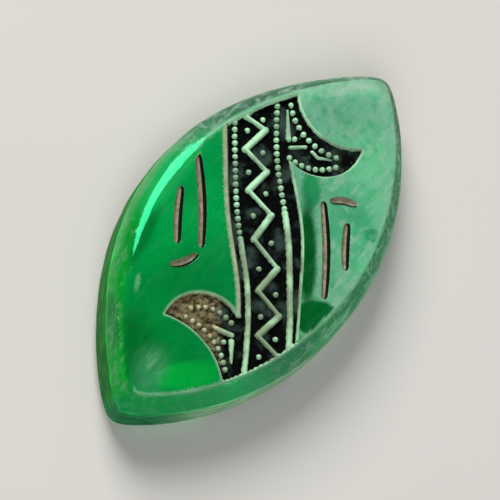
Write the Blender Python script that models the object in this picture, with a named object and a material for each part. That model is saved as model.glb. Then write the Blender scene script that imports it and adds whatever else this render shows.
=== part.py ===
"""Carved navette gem: one solid stone with a sunk band, two sunk horns and rows of short strokes.

The gem lies on its flat back. +X runs along the stone, +Y towards its fuller side and +Z up through the
table. The carving is laid out in its own frame, which lies on the table and is turned to run across it.
"""
import math

import bmesh
import bpy
from mathutils import Vector

MM = 0.001

# Outline at the side wall
GEM_LENGTH = 44.7 * MM
LEFT_BULGE = 12.31 * MM
RIGHT_BULGE = 11.56 * MM
LEFT_FLATNESS = 2.0
RIGHT_FLATNESS = 0.31
TIP_ROUNDNESS = 0.19

# Heights, from the back up
BACK_HEIGHT = 1.3 * MM
WALL_HEIGHT = 3.36 * MM
CROWN_HEIGHT = 2.28 * MM

# How far the back and the table stand in from the side wall
BACK_INSET = 1.5 * MM
TIP_INSET = 1.45 * MM
LEFT_INSET = 1.8 * MM
RIGHT_INSET = 1.5 * MM

# Softly rounded crown on the left: share of the way up and share of the inset where it turns
SHOULDER_RISE = 0.62
SHOULDER_INSET = 0.62
LEFT_SOFTNESS = 0.28

# Frame of the carving on the table
CARVING_X = 1.16 * MM
CARVING_Y = 0.07 * MM
CARVING_TURN = math.radians(36.2)
RIM = 0.26 * MM

# Band, with a gentle sway and a swelling at its middle
BAND_REACH = 18.0 * MM
BAND_DEPTH = 0.60 * MM
BAND_SWAY = 0.67 * MM
SWAY_RUN = 17.8 * MM
SWAY_START = 0.4 * MM
LEFT_GROOVE = 0.50 * MM
RIGHT_GROOVE = 0.40 * MM
RIGHT_SWELL = 0.75 * MM
RIGHT_SWELL_AT = 2.0 * MM
RIGHT_SWELL_RUN = 28.0 * MM
GROOVE_DROP = 0.28 * MM
GROOVE_STEP = 0.07 * MM
BAND_SAMPLE = 1.1 * MM

# Beads of the two rows along the band
ROW_OFFSET = 2.08 * MM
ROW_SWELL = 0.34 * MM
ROW_SWELL_RUN = 16.0 * MM
BEAD_GAP = 0.10 * MM
BEAD_RADIUS = 0.30 * MM
BEAD_DROP = 0.08 * MM
BEAD_SIDES = 8
BEAD_CROWN = 0.55
BEAD_TOP = 0.52
RIDGE_WIDTH = 0.46 * MM
RIDGE_DROP = 0.24 * MM
LEFT_RIDGE_START = -1.5 * MM
RIGHT_RIDGE_START = 1.5 * MM

# Zigzag, cut by hand, so no two steps are alike
ZIGZAG_TOP = 11.1 * MM
ZIGZAG_STEPS_MM = (1.24, 2.15, 2.12, 2.04, 2.35, 2.63, 2.77, 2.43, 2.38, 2.18, 1.92, 2.3)
ZIGZAG_LEFT = 1.05 * MM
ZIGZAG_RIGHT = 1.00 * MM
ZIGZAG_WIDTH = 0.50 * MM
ZIGZAG_DROP = 0.12 * MM
ZIGZAG_LEAD_IN = (2.0 * MM, -1.6 * MM)
LEFT_DOT_OFFSET = 0.82 * MM
RIGHT_DOT_OFFSET = 0.70 * MM
DOT_LAG = 0.20 * MM
DOT_RADIUS = 0.32 * MM
DOT_DROP = 0.16 * MM

# Horns: each is bounded by a round belly and a hollow back, which meet in a point
HORN_STEP = 0.05 * MM
UPPER_BELLY = (9.81 * MM, -5.80 * MM, 4.33 * MM)
UPPER_HOLLOW = (14.16 * MM, -9.03 * MM, 5.49 * MM)
UPPER_BELLY_ARC = (125.0, 254.0)
UPPER_HOLLOW_ARC = (-171.0, -275.0)
LOWER_BELLY = (-11.45 * MM, 6.01 * MM, 4.04 * MM)
LOWER_HOLLOW = (-17.38 * MM, 11.62 * MM, 7.65 * MM)
LOWER_BELLY_ARC = (-60.0, 66.0)
LOWER_HOLLOW_ARC = (-14.0, -96.0)
HORN_SAMPLES = 16

# Bead rows in the horns: centre, radius, first angle, last angle, count
HORN_ROWS = (
    (13.61 * MM, -8.86 * MM, 6.08 * MM, 99.0, 166.0, 10),
    (10.78 * MM, -5.45 * MM, 4.47 * MM, 142.0, 205.0, 8),
    (-16.08 * MM, 10.29 * MM, 6.70 * MM, -24.0, -80.0, 10),
    (-12.49 * MM, 5.90 * MM, 3.68 * MM, 19.0, -50.0, 7),
)
HORN_BEAD_RADIUS = 0.27 * MM
HORN_BEAD_DROP = 0.12 * MM

# Bars, leaf and tapered webs inside the horns, in millimetres: points, half width at each end and drop
HORN_BARS_MM = (
    (((8.29, -2.75), (8.50, -4.30)), 0.24, 0.22, 0.12),
    (((8.05, -4.95), (7.50, -5.50), (7.38, -6.85)), 0.22, 0.08, 0.12),
    (((12.1, -2.52), (9.2, -2.62)), 0.06, 0.26, 0.30),
    (((-10.77, 4.80), (-11.38, 3.05)), 0.22, 0.24, 0.12),
    (((-12.0, 3.05), (-14.2, 3.10)), 0.26, 0.06, 0.30),
)
HORN_DOTS = ((9.24 * MM, -3.24 * MM), (-12.14 * MM, 3.84 * MM))

# Rows of strokes on either side of the band, in millimetres: start, end, bow and half width
STROKES_MM = (
    (6.3, 6.45, -2.6, 6.15, 0.22, 0.42),
    (2.9, 8.20, -2.4, 8.55, -0.10, 0.42),
    (-3.75, 6.75, -4.85, 8.95, 0.20, 0.42),
    (2.7, -6.00, -6.7, -6.05, 0.24, 0.40),
    (0.7, -8.35, -3.6, -8.15, -0.08, 0.40),
    (3.1, -6.90, 2.95, -9.05, 0.18, 0.42),
)
STROKE_DEPTH = 0.34 * MM
STROKE_TIP = 0.72
STROKE_SECTION = ((0.62, 0.85), (1.0, 0.25))
STROKE_SAMPLES = 9

# Fineness of the outline, and how far a cutter or a raised piece runs past what it meets
OUTLINE_POINTS = 96
OVERRUN = 0.4 * MM
ROOT = 0.12 * MM
RIBBON_CREST = 0.55
MITRE_LIMIT = 0.5

BACK_Z = 0.0
WALL_BOTTOM_Z = BACK_HEIGHT
WALL_TOP_Z = WALL_BOTTOM_Z + WALL_HEIGHT
TABLE_Z = WALL_TOP_Z + CROWN_HEIGHT
BAND_FLOOR_Z = TABLE_Z - BAND_DEPTH
GROOVE_FLOOR_Z = BAND_FLOOR_Z - GROOVE_DROP
HORN_FLOOR_Z = BAND_FLOOR_Z + HORN_STEP
ROOT_Z = GROOVE_FLOOR_Z - ROOT
HALF_LENGTH = GEM_LENGTH / 2
TIP_LINE_Y = (RIGHT_BULGE - LEFT_BULGE) / 2
BEAD_PITCH = 2 * BEAD_RADIUS + BEAD_GAP


def clear_scene():
    for old in list(bpy.data.objects):
        bpy.data.objects.remove(old, do_unlink=True)


def stone_material():
    material = bpy.data.materials.new("green_stone")
    material.use_nodes = True
    shader = material.node_tree.nodes["Principled BSDF"]
    shader.inputs["Base Color"].default_value = (0.02, 0.42, 0.14, 1.0)
    shader.inputs["Roughness"].default_value = 0.15
    shader.inputs["Metallic"].default_value = 0.0
    material.diffuse_color = (0.02, 0.42, 0.14, 1.0)
    return material


def make_object(name, points, faces):
    mesh = bpy.data.meshes.new(name)
    mesh.from_pydata([tuple(point) for point in points], [], faces)
    shape = bmesh.new()
    shape.from_mesh(mesh)
    bmesh.ops.recalc_face_normals(shape, faces=shape.faces)
    shape.to_mesh(mesh)
    shape.free()
    made = bpy.data.objects.new(name, mesh)
    bpy.context.scene.collection.objects.link(made)
    return made


def append_loft(points, faces, rings):
    """Adds closed rings of equal length, skinned in order and capped at both ends."""
    start = len(points)
    count = len(rings[0])
    for ring in rings:
        points.extend(ring)
    for level in range(len(rings) - 1):
        low = start + level * count
        for i in range(count):
            j = (i + 1) % count
            faces.append((low + i, low + j, low + count + j, low + count + i))
    faces.append(tuple(start + i for i in reversed(range(count))))
    faces.append(tuple(start + (len(rings) - 1) * count + i for i in range(count)))


def arch_share(along, flatness):
    """Height of a bowed side at a share of the half length: 1 at the middle and 0 at the tip."""
    reach = 1 + flatness
    edge = math.sqrt(reach ** 2 - 1)
    bow = (math.sqrt(reach ** 2 - along ** 2) - edge) / (reach - edge)
    return math.sqrt((1 - TIP_ROUNDNESS) * bow ** 2 + TIP_ROUNDNESS * (1 - along ** 2))


def outline(half_length, left_bulge, right_bulge, z):
    """One ring of the stone, from the +X tip round by the left side."""
    ring = []
    for i in range(OUTLINE_POINTS):
        turn = 2 * math.pi * i / OUTLINE_POINTS
        along = math.cos(turn)
        if i <= OUTLINE_POINTS // 2:
            y = left_bulge * arch_share(along, LEFT_FLATNESS)
        else:
            y = -right_bulge * arch_share(along, RIGHT_FLATNESS)
        ring.append(Vector((half_length * along, TIP_LINE_Y + y, z)))
    return ring


def table_outline(inset, z):
    half_length = HALF_LENGTH - TIP_INSET - inset
    return outline(half_length, LEFT_BULGE - LEFT_INSET - inset, RIGHT_BULGE - RIGHT_INSET - inset, z)


def make_stone():
    """The uncarved stone: chamfered back, side wall and crown up to the table."""
    left_share = SHOULDER_INSET - LEFT_SOFTNESS
    rings = [
        outline(HALF_LENGTH - BACK_INSET, LEFT_BULGE - BACK_INSET, RIGHT_BULGE - BACK_INSET, BACK_Z),
        outline(HALF_LENGTH, LEFT_BULGE, RIGHT_BULGE, WALL_BOTTOM_Z),
        outline(HALF_LENGTH, LEFT_BULGE, RIGHT_BULGE, WALL_TOP_Z),
        outline(HALF_LENGTH - TIP_INSET * SHOULDER_INSET,
                LEFT_BULGE - LEFT_INSET * left_share,
                RIGHT_BULGE - RIGHT_INSET * SHOULDER_INSET,
                WALL_TOP_Z + CROWN_HEIGHT * SHOULDER_RISE),
        table_outline(0.0, TABLE_Z),
    ]
    points = []
    faces = []
    append_loft(points, faces, rings)
    return make_object("gem", points, faces)


def on_table(along, across, z):
    """A point of the carving's frame, along and across the band, as a point of the stone."""
    cos_turn = math.cos(CARVING_TURN)
    sin_turn = math.sin(CARVING_TURN)
    x = CARVING_X + along * cos_turn - across * sin_turn
    y = CARVING_Y + along * sin_turn + across * cos_turn
    return Vector((x, y, z))


def bell(along, middle, run):
    """A smooth hump, 1 at its middle and 0 at half its run to either side."""
    offset = abs(along - middle)
    if offset >= run / 2:
        return 0.0
    return math.cos(math.pi * offset / run) ** 2


def sway(along):
    return BAND_SWAY * math.sin(math.pi * (along - SWAY_START) / SWAY_RUN)


def row_offset(along):
    return ROW_OFFSET + ROW_SWELL * bell(along, 0.0, ROW_SWELL_RUN)


def left_row(along):
    return sway(along) + row_offset(along)


def right_row(along):
    return sway(along) - row_offset(along)


def left_groove_side(along):
    return left_row(along) + BEAD_RADIUS


def right_groove_side(along):
    return right_row(along) - BEAD_RADIUS


def left_edge(along):
    return left_groove_side(along) + LEFT_GROOVE


def right_edge(along):
    swell = RIGHT_SWELL * bell(along, RIGHT_SWELL_AT, RIGHT_SWELL_RUN)
    return right_groove_side(along) - RIGHT_GROOVE - swell


def samples(first, last, step):
    count = max(2, math.ceil(abs(last - first) / step))
    return [first + (last - first) * i / count for i in range(count + 1)]


def strip(side_a, side_b, inset_a, inset_b, reach):
    """Closed outline between two lines that run the length of the band."""
    stations = samples(-reach, reach, BAND_SAMPLE)
    path = [(along, side_a(along) - inset_a) for along in stations]
    path += [(along, side_b(along) + inset_b) for along in reversed(stations)]
    return path


def arc(circle, first, last, count):
    centre_along, centre_across, radius = circle
    path = []
    for i in range(count + 1):
        angle = math.radians(first + (last - first) * i / count)
        path.append((centre_along + radius * math.cos(angle), centre_across + radius * math.sin(angle)))
    return path


def prism(name, path, low, high):
    points = []
    faces = []
    rings = [[on_table(along, across, z) for along, across in path] for z in (low, high)]
    append_loft(points, faces, rings)
    return make_object(name, points, faces)


def as_guide(shape):
    shape.hide_render = True
    shape.display_type = "WIRE"


def add_boolean(target, operand, operation):
    step = target.modifiers.new(f"{operation.lower()}_{operand.name}", "BOOLEAN")
    step.object = operand
    step.operation = operation
    step.solver = "EXACT"
    as_guide(operand)


def make_table_guide(name, inset):
    """Upright block over the table, which keeps the carving inside its rim."""
    points = []
    faces = []
    append_loft(points, faces, [table_outline(inset, z) for z in (WALL_BOTTOM_Z, TABLE_Z + 2 * OVERRUN)])
    return make_object(name, points, faces)


def horn_outline(belly, belly_arc, hollow, hollow_arc, row):
    """Outline of one horn, closed inside the band."""
    path = arc(belly, *belly_arc, HORN_SAMPLES) + arc(hollow, *hollow_arc, HORN_SAMPLES)
    first = path[0][0]
    last = path[-1][0]
    return path + [(last, row(last)), (first, row(first))]


def carve_sunk_ground(gem):
    """Sinks the band, its two deeper side grooves and the horns, all inside a thin rim."""
    top = TABLE_Z + OVERRUN
    horn_top = top + HORN_STEP
    groove_top = top + GROOVE_STEP
    groove_reach = BAND_REACH - OVERRUN
    band = strip(left_edge, right_edge, 0.0, 0.0, BAND_REACH)
    left_groove = strip(left_edge, left_groove_side, GROOVE_STEP, 0.0, groove_reach)
    right_groove = strip(right_groove_side, right_edge, 0.0, GROOVE_STEP, groove_reach)
    upper_horn = horn_outline(UPPER_BELLY, UPPER_BELLY_ARC, UPPER_HOLLOW, UPPER_HOLLOW_ARC, right_row)
    lower_horn = horn_outline(LOWER_BELLY, LOWER_BELLY_ARC, LOWER_HOLLOW, LOWER_HOLLOW_ARC, left_row)
    pocket = prism("pocket_cutter", band, BAND_FLOOR_Z, top)
    for cutter in (
        prism("upper_horn_cutter", upper_horn, HORN_FLOOR_Z, horn_top),
        prism("lower_horn_cutter", lower_horn, HORN_FLOOR_Z, horn_top),
        prism("left_groove_cutter", left_groove, GROOVE_FLOOR_Z, groove_top),
        prism("right_groove_cutter", right_groove, GROOVE_FLOOR_Z, groove_top),
    ):
        add_boolean(pocket, cutter, "UNION")
    add_boolean(pocket, make_table_guide("pocket_guide", RIM), "INTERSECT")
    add_boolean(gem, pocket, "DIFFERENCE")


def inside_table(place, margin):
    """Whether a point keeps a margin to the table's edge."""
    half_length = HALF_LENGTH - TIP_INSET - margin
    along = place.x / half_length
    if abs(along) >= 1:
        return False
    side = place.y - TIP_LINE_Y
    if side > 0:
        return side < (LEFT_BULGE - LEFT_INSET - margin) * arch_share(along, LEFT_FLATNESS)
    return -side < (RIGHT_BULGE - RIGHT_INSET - margin) * arch_share(along, RIGHT_FLATNESS)


def append_bead(points, faces, place, radius, low, high):
    """A round bead on a short stalk, closed by a small flat top."""
    profile = [(radius, low), (radius, high - BEAD_CROWN * radius), (BEAD_TOP * radius, high)]
    rings = []
    for ring_radius, z in profile:
        ring = []
        for i in range(BEAD_SIDES):
            angle = 2 * math.pi * (i + 0.5) / BEAD_SIDES
            x = place.x + ring_radius * math.cos(angle)
            y = place.y + ring_radius * math.sin(angle)
            ring.append(Vector((x, y, z)))
        rings.append(ring)
    append_loft(points, faces, rings)


def row_places(row):
    """Even places along a bead row, measured along its own line."""
    places = []
    along = BAND_REACH
    while along > -BAND_REACH:
        slope = (row(along) - row(along - BEAD_PITCH)) / BEAD_PITCH
        places.append((along, row(along)))
        along -= BEAD_PITCH / math.hypot(1.0, slope)
    return places


def make_beads():
    """All the beads and dots, which stand clear of one another."""
    points = []
    faces = []
    for row in (left_row, right_row):
        for along, across in row_places(row):
            place = on_table(along, across, TABLE_Z)
            if inside_table(place, RIM + BEAD_RADIUS):
                append_bead(points, faces, place, BEAD_RADIUS, ROOT_Z, TABLE_Z - BEAD_DROP)
    for centre_along, centre_across, radius, first, last, count in HORN_ROWS:
        for along, across in arc((centre_along, centre_across, radius), first, last, count - 1):
            place = on_table(along, across, TABLE_Z)
            if inside_table(place, RIM + HORN_BEAD_RADIUS):
                append_bead(points, faces, place, HORN_BEAD_RADIUS, ROOT_Z, TABLE_Z - HORN_BEAD_DROP)
    for along, across in zigzag_dots() + list(HORN_DOTS):
        place = on_table(along, across, TABLE_Z)
        if inside_table(place, RIM + DOT_RADIUS):
            append_bead(points, faces, place, DOT_RADIUS, ROOT_Z, TABLE_Z - DOT_DROP)
    return make_object("beads_and_dots", points, faces)


def zigzag_turns():
    """Where the zigzag turns, from the top of the band down, on its left and right by turns."""
    turns = []
    along = ZIGZAG_TOP
    for i, step in enumerate(ZIGZAG_STEPS_MM):
        across = sway(along) + (ZIGZAG_LEFT if i % 2 == 0 else -ZIGZAG_RIGHT)
        turns.append((along, across))
        along -= step * MM
    return turns


def zigzag_dots():
    """One dot in the hollow of each turn of the zigzag."""
    dots = []
    for i, (along, _) in enumerate(zigzag_turns()):
        offset = -RIGHT_DOT_OFFSET if i % 2 == 0 else LEFT_DOT_OFFSET
        dots.append((along - DOT_LAG, sway(along) + offset))
    return dots


def append_ribbon(points, faces, path, half_widths, low, high):
    """A raised line with sloping sides along a path, mitred where it turns."""
    rings = []
    for i, (along, across) in enumerate(path):
        before = Vector(path[max(i - 1, 0)])
        after = Vector(path[min(i + 1, len(path) - 1)])
        here = Vector((along, across))
        into = (here - before).normalized() if i > 0 else (after - here).normalized()
        out = (after - here).normalized() if i < len(path) - 1 else into
        mean = (into + out).normalized()
        side = Vector((-mean.y, mean.x)) / max(MITRE_LIMIT, mean.dot(into))
        foot = side * half_widths[i]
        crest = foot * RIBBON_CREST
        rings.append([
            on_table(along + foot.x, across + foot.y, low),
            on_table(along - foot.x, across - foot.y, low),
            on_table(along - crest.x, across - crest.y, high),
            on_table(along + crest.x, across + crest.y, high),
        ])
    append_loft(points, faces, rings)


def make_lines():
    """The zigzag, the ridges under the lower beads, and the bars and webs of the horns."""
    points = []
    faces = []
    turns = zigzag_turns()
    lead_in = (turns[0][0] + ZIGZAG_LEAD_IN[0], turns[0][1] + ZIGZAG_LEAD_IN[1])
    path = [lead_in] + turns
    append_ribbon(points, faces, path, [ZIGZAG_WIDTH / 2] * len(path), ROOT_Z, TABLE_Z - ZIGZAG_DROP)
    for row, start in ((left_row, LEFT_RIDGE_START), (right_row, RIGHT_RIDGE_START)):
        path = [(along, row(along)) for along in samples(start, -BAND_REACH, BAND_SAMPLE)]
        append_ribbon(points, faces, path, [RIDGE_WIDTH / 2] * len(path), ROOT_Z, TABLE_Z - RIDGE_DROP)
    for bar_path, first_half, last_half, drop in HORN_BARS_MM:
        path = [(along * MM, across * MM) for along, across in bar_path]
        last = len(path) - 1
        halves = [(first_half + (last_half - first_half) * i / last) * MM for i in range(len(path))]
        append_ribbon(points, faces, path, halves, ROOT_Z, TABLE_Z - drop * MM)
    return make_object("raised_lines", points, faces)


def append_stroke(points, faces, stroke):
    """A bowed stroke that is full in its middle and thin at both ends, round at the bottom."""
    start_along, start_across, end_along, end_across, bow, half_width = (value * MM for value in stroke)
    start = Vector((start_along, start_across))
    run = Vector((end_along, end_across)) - start
    side = Vector((-run.y, run.x)).normalized()
    rings = []
    for i in range(STROKE_SAMPLES + 1):
        share = i / STROKE_SAMPLES
        arch = math.sin(math.pi * share)
        middle = start + run * share + side * bow * arch
        fill = STROKE_TIP + (1 - STROKE_TIP) * math.sqrt(max(0.0, arch))
        half = half_width * fill
        depth = STROKE_DEPTH * fill
        right_side = [(-reach * half, -drop * depth) for reach, drop in STROKE_SECTION] + [(-half, OVERRUN)]
        left_side = [(-offset, height) for offset, height in reversed(right_side)]
        section = left_side + [(0.0, -depth)] + right_side
        rings.append([
            on_table(middle.x + side.x * offset, middle.y + side.y * offset, TABLE_Z + height)
            for offset, height in section
        ])
    append_loft(points, faces, rings)


def make_strokes():
    points = []
    faces = []
    for stroke in STROKES_MM:
        append_stroke(points, faces, stroke)
    return make_object("stroke_cutters", points, faces)


def make_gem():
    gem = make_stone()
    carve_sunk_ground(gem)
    lines = make_lines()
    add_boolean(lines, make_table_guide("relief_guide", RIM / 2), "INTERSECT")
    add_boolean(gem, lines, "UNION")
    add_boolean(gem, make_beads(), "UNION")
    add_boolean(gem, make_strokes(), "DIFFERENCE")
    gem.data.materials.append(stone_material())
    return gem


clear_scene()
make_gem()
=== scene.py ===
"""Looks of the carved green gem: a stone clear in places and frosted in others, with worn and soiled relief.

Lengths are in millimetres until a mesh is made. The carving has its own frame, along and across the band.
"""

import math

import bpy
import numpy as np
from mathutils import Matrix, Vector, noise
from mathutils.geometry import delaunay_2d_cdt


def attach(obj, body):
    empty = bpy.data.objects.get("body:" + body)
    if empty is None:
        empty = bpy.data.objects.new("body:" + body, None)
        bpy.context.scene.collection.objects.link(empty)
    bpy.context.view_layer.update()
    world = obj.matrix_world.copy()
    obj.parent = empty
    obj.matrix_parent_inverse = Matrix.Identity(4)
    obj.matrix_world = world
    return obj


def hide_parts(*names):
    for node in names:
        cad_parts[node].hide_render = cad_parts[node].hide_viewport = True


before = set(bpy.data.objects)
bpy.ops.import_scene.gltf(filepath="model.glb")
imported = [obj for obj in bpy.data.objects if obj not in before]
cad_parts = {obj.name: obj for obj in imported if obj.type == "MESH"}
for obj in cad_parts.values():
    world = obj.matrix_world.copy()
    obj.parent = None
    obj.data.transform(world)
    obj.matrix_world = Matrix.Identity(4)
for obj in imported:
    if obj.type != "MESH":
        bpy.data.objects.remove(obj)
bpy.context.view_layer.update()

MM = 0.001


def linear(red, green, blue):
    """A colour given in the 0 to 255 steps of a screen, as the shader's own values."""
    return tuple(((value / 255 + 0.055) / 1.055) ** 2.4 if value > 10 else value / 255 / 12.92
                 for value in (red, green, blue))


# The stone, as the solid has it
GEM_LENGTH = 44.7
LEFT_BULGE = 12.31
RIGHT_BULGE = 11.56
LEFT_FLATNESS = 2.0
RIGHT_FLATNESS = 0.31
TIP_ROUNDNESS = 0.19
BACK_HEIGHT = 1.3
WALL_HEIGHT = 3.36
CROWN_HEIGHT = 2.28
BACK_INSET = 1.5
TIP_INSET = 1.45
LEFT_INSET = 1.8
RIGHT_INSET = 1.5
SHOULDER_RISE = 0.62
SHOULDER_INSET = 0.62
LEFT_SOFTNESS = 0.28
WALL_TOP_Z = BACK_HEIGHT + WALL_HEIGHT
TABLE_Z = WALL_TOP_Z + CROWN_HEIGHT
HALF_LENGTH = GEM_LENGTH / 2
TIP_LINE_Y = (RIGHT_BULGE - LEFT_BULGE) / 2

# Wear of the stone's edges, from the table's down to the back's: the radius where an edge stays crisp, that
# where it is soft, on the left, and the most of a neighbouring face that it may take up
OUTLINE_POINTS = 320
CORNER_STEPS = 5
FACE_STEPS = 3
CRISP_RADII = (0.12, 0.16, 0.14, 0.18, 0.12)
SOFT_RADII = (1.00, 0.46, 1.00, 0.20, 0.12)
MOST_OF_FACE = (0.62, 0.34, 0.60, 0.30, 0.30)
INWARD_SHARE = 0.2
SOFT_FROM_X = -22.3
SOFT_NEAR_RUN = 1.2
SOFT_TO_X = 5.2
SOFT_RUN = 3.0
SOFT_SIDE_RUN = 0.12
WALL_UNEVENNESS = 0.035
DENT_SIZES = (2.6, 0.9)
SMALL_DENT_SHARE = 0.6
MEAN_DENT = 0.5
DEEPEST_DENT = 1.5
BACK_UNEVENNESS = 0.02
BACK_LUMP = 3.0
BACK_LUMP_RISE = 0.3
BACK_SEED = 5.0

# Carving, as the solid has it
CARVING_X = 1.16
CARVING_Y = 0.07
CARVING_TURN = math.radians(36.2)
RIM = 0.26
BAND_REACH = 18.0
BAND_DEPTH = 0.60
BAND_SWAY = 0.67
SWAY_RUN = 17.8
SWAY_START = 0.4
LEFT_GROOVE = 0.50
RIGHT_GROOVE = 0.40
RIGHT_SWELL = 0.75
RIGHT_SWELL_AT = 2.0
RIGHT_SWELL_RUN = 28.0
GROOVE_DROP = 0.28
GROOVE_STEP = 0.07
ROW_OFFSET = 2.08
ROW_SWELL = 0.34
ROW_SWELL_RUN = 16.0
BEAD_GAP = 0.10
BEAD_RADIUS = 0.30
BEAD_DROP = 0.08
BEAD_PITCH = 2 * BEAD_RADIUS + BEAD_GAP
BEAD_WEAR = 0.02
BEAD_SINK = 0.10
BEAD_SINK_RUN = 3.0
LEFT_RIDGE_WIDTH = 0.76
RIGHT_RIDGE_WIDTH = 0.84
RIDGE_DROP = 0.10
LEFT_RIDGE_START = -1.5
RIGHT_RIDGE_START = 1.5
ZIGZAG_TOP = 11.1
ZIGZAG_STEPS = (1.24, 2.15, 2.12, 2.04, 2.35, 2.63, 2.77, 2.43, 2.38, 2.18, 1.92, 2.3)
ZIGZAG_LEFT = 1.05
ZIGZAG_RIGHT = 1.00
ZIGZAG_WIDTHS = (0.58, 0.86)
ZIGZAG_DROP = 0.12
ZIGZAG_LEAD_IN = (2.0, -1.6)
LEFT_DOT_OFFSET = 0.82
RIGHT_DOT_OFFSET = 0.70
DOT_LAG = 0.20
DOT_RADIUS = 0.32
DOT_DROP = 0.16
HORN_STEP = 0.05
UPPER_BELLY = (9.81, -5.80, 4.33)
UPPER_BELLY_ARC = (125.0, 254.0)
UPPER_HOLLOW = (14.16, -9.03, 5.49)
UPPER_HOLLOW_ARC = (-171.0, -275.0)
LOWER_BELLY = (-11.45, 6.01, 4.04)
LOWER_BELLY_ARC = (-60.0, 66.0)
LOWER_HOLLOW = (-17.38, 11.62, 7.65)
LOWER_HOLLOW_ARC = (-14.0, -96.0)
HORN_SAMPLES = 28
# Bead rows of the horns: centre along and across, radius, first and last angle, beads
HORN_ROWS = (
    (13.61, -8.86, 6.08, 99.0, 166.0, 10),
    (10.78, -5.45, 4.47, 142.0, 205.0, 8),
    (-16.08, 10.29, 6.70, -24.0, -80.0, 10),
    (-12.49, 5.90, 3.68, 19.0, -50.0, 7),
)
HORN_BEAD_RADIUS = 0.32
HORN_BEAD_DROP = 0.12
# Bars of the horns: path, half width at its start and its end, drop below the table
HORN_BARS = (
    (((8.29, -2.75), (8.50, -4.30)), 0.24, 0.22, 0.12),
    (((8.05, -4.95), (7.50, -5.50), (7.38, -6.85)), 0.22, 0.08, 0.12),
    (((12.1, -2.52), (9.2, -2.62)), 0.12, 0.44, 0.24),
    (((-10.77, 4.80), (-11.38, 3.05)), 0.34, 0.36, 0.14),
    (((-12.0, 3.05), (-14.2, 3.10)), 0.44, 0.20, 0.26),
)
HORN_DOTS = ((9.24, -3.24), (-12.14, 3.84))
# Strokes: start and end along and across, bow and half width
STROKES = (
    (6.3, 6.45, -2.6, 6.15, 0.22, 0.42),
    (2.9, 8.20, -2.4, 8.55, -0.10, 0.42),
    (-3.75, 6.75, -4.85, 8.95, 0.20, 0.42),
    (2.7, -6.00, -6.7, -6.05, 0.24, 0.40),
    (0.7, -8.35, -3.6, -8.15, -0.08, 0.40),
    (2.95, -9.05, 3.1, -6.90, -0.18, 0.42),
)
STROKE_DEPTH = 0.34
STROKE_TIP = 0.72
STROKE_SAMPLES = 14
STROKE_CURVE = 2.6

# Fineness of the relief, how soft its walls are, and how worn the stone is round it
COARSE_STEP = 0.27
FINE_PARTS = 4
FINE_MARGIN = 0.42
STROKE_REACH = 2.2
EDGE_CLEARANCE = 0.16
WALL_RUN = 0.13
LIP_RUN = 0.22
LIP_DROP = 0.045
HORN_LIP_EXTRA = 0.20
HORN_LIP_REACH = 0.6
HORN_LIP_RUN = 0.3
LEFT_LIP = 0.66
LEFT_LIP_RUN = 0.14
LEFT_LIP_SHARE = 0.75
LEFT_LIP_REACH = 12.0
TAN_STRIP = 0.46
TAN_START = 0.04
TAN_EDGE = 0.06
TAN_GAP = 0.05
GROUND_ROUGHNESS = 0.035
GROUND_LUMP = 0.35
GROUND_SEED = 3.0
RELIEF_FOOT = 0.10
BEAD_CURVE = 2.8
BEAD_SWELL = 1.06
BEAD_VARIETY = 2.3
RIDGE_CURVE = 3.2
RIDGE_BITE = 0.10
CARVED_OVERLAP = 0.05

# Soil that fills the lower horn: how high it stands over the ground, and the size of its lumps
SOIL_FILL = 0.15
SOIL_LUMP = 0.42
SOIL_ACROSS = 3.6
SOIL_RUN = 1.6
SOIL_EDGE = 0.1
SOIL_FROM_HOLLOW = 0.14
SOIL_HOLLOW_RUN = 0.3
SOIL_LOWEST = 0.4
SOIL_COVER = (0.7, 1.3)
CLOD_SEED = 11.0
CRUMB_SEED = 12.0

# Layers that the materials read: where dust starts, how far a stroke's patina reaches, and the side of each
# stroke, and of the tan strip, where shadow is painted dark
DUST_FROM = 2.0
DUST_RUN = 7.0
STROKE_COVER = 1.15
STROKE_COVERED = 0.12
STROKE_SHADE_REACH = 1.1
STROKE_SHADE_FROM = 0.12
STRIP_SHADE_TO = 0.3
STRIP_SHADE_SHARE = 0.75
SHADE_RUN = 0.36
MOSTLY_TAN = 0.5
STONE_SLOT, CARVING_SLOT, STROKE_SLOT, WALL_SLOT = range(4)

# Colour of the stone and how frosted it is: clear on the left, cloudy on the right, with frosted bevels
CLEAR_GREEN = linear(0, 218, 112)
CLEAR_FROST = 0.12
CLOUDY_GREEN = linear(168, 255, 216)
CLOUDY_FROST = 0.47
CLOUDY_RUN = 2.0
SIDE_RUN = 0.6
BEVEL_PLACES = (-20.0, -12.5, 0.0, 8.0, 16.0)
BEVEL_GREENS = (
    linear(0, 200, 104),
    linear(10, 250, 146),
    linear(78, 122, 96),
    linear(78, 100, 86),
    linear(84, 112, 94),
)
BEVEL_FROSTS = (0.24, 0.80)
BEVEL_DROP = 0.12
BEVEL_RUN = 0.12
FAR_FROM_X = -14.0
FAR_RUN = 16.0
TIP_WALL_GREEN = linear(22, 120, 70)
WALL_GREEN = linear(150, 200, 158)
WALL_FROST = 0.9
WALL_FROM_X = -20.5
WALL_RUN_X = 5.0
WALL_TINT_RISE = 0.1
WALL_FAR_RISE = 0.5
WALL_TINT_RUN = 0.4
LEFT_WALL_GREEN = linear(0, 116, 30)
LEFT_WALL_FROST = 0.3
LEFT_WALL_RUN = 0.3
GREEN_TO_X = 7.8
GREEN_RUN = 8.0
CROWN_GREEN = linear(0, 205, 55)
CROWN_FROST = 0.28
CROWN_DROP = 0.02
CROWN_RUN = 0.4
BACK_FROST = 0.2
BACK_TINT_Z = 0.5
BACK_TINT_RUN = 0.4
# A pale highlight painted along the table's crisp edge: its colour, frost, drop below the table and width
PAINTED_EDGE_HIGHLIGHT = linear(190, 250, 210)
PAINTED_EDGE_HIGHLIGHT_FROST = 0.6
PAINTED_EDGE_HIGHLIGHT_DROP = 0.04
PAINTED_EDGE_HIGHLIGHT_WIDTH = 0.32
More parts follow.
